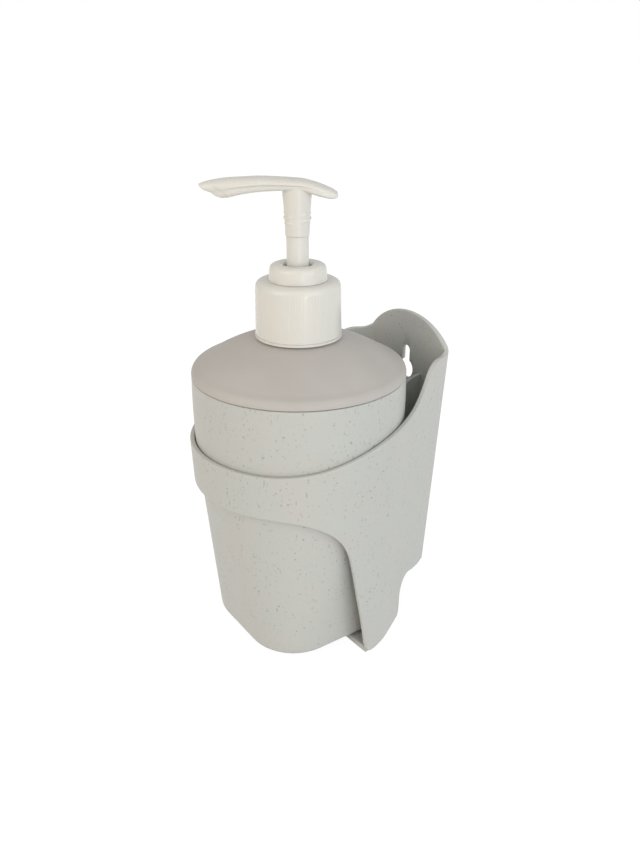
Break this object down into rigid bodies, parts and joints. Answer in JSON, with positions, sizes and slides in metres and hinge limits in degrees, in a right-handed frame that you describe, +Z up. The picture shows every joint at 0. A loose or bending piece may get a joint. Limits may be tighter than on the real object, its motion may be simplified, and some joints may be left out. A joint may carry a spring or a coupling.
{
  "type": "soap dispenser",
  "caption": "Pump soap dispenser: a tapered speckled cup with a domed lid and lotion pump, seated in an open-front moulded wall holder with a keyhole.",
  "frame": {"origin": "middle of the underside of the holder's floor strap; the pump's axis is 17 mm in front of it, at y = -0.017", "axes": "+Z up along the pump's axis, +Y towards the wall behind the holder, -Y out of the holder's open front"},
  "size_m": [0.0904, 0.105, 0.1918],
  "materials": {
    "speckled": "pale grey-green plastic with dark plant fibre flecks, satin",
    "lid": "warm grey, matt",
    "pump_white": "milky white, half gloss",
    "seal": "soft, pale",
    "tube": "translucent",
    "spring": "bright spring wire",
    "ball": "polished"
  },
  "bodies": {
    "root": {"holder": "speckled"},
    "bottle": {"cup_body": "speckled", "lid_dome": "lid", "lid_seal_ring": "seal"},
    "pump": {"neck_gasket": "seal", "pump_housing": "pump_white", "lock_ring": "pump_white", "ball_retainer": "pump_white", "dip_tube": "tube", "return_spring": "spring"},
    "collar": {"closure_collar": "pump_white"},
    "ball": {"inlet_ball": "ball"},
    "plunger": {"outlet_plug": "pump_white"},
    "piston": {"piston": "seal"},
    "head": {"pump_stem": "pump_white", "actuator_head": "pump_white"}
  },
  "joints": [
    {"name": "bottle_lift", "type": "slide", "parent": "root", "child": "bottle", "axis": [0, 0, 1], "range_m": [0, 0.125]},
    {"name": "pump_rise", "type": "slide", "parent": "bottle", "child": "pump", "axis": [0, 0, 1], "range_m": [0, 0.0053]},
    {"name": "collar_turn", "type": "hinge", "parent": "pump", "child": "collar", "pos_m": [0, -0.017, 0.1539], "axis": [0, 0, 1], "range_deg": [0, 450]},
    {"name": "inlet_ball_lift", "type": "slide", "parent": "pump", "child": "ball", "axis": [0, 0, 1], "range_m": [0, 0.0008]},
    {"name": "plunger_press", "type": "slide", "parent": "pump", "child": "plunger", "axis": [0, 0, -1], "range_m": [0, 0.016], "stiffness_N_per_m": 600, "springref_m": -0.008, "deforming": ["return_spring"]},
    {"name": "piston_float", "type": "slide", "parent": "plunger", "child": "piston", "axis": [0, 0, 1], "range_m": [0, 0.0012]},
    {"name": "head_swivel", "type": "hinge", "parent": "plunger", "child": "head", "pos_m": [0, -0.017, 0.1819], "axis": [0, 0, 1], "continuous": true}
  ],
  "couplings": [
    {"joint": "pump_rise", "follows": "collar_turn", "m_per_rad": 0.000673}
  ]
}
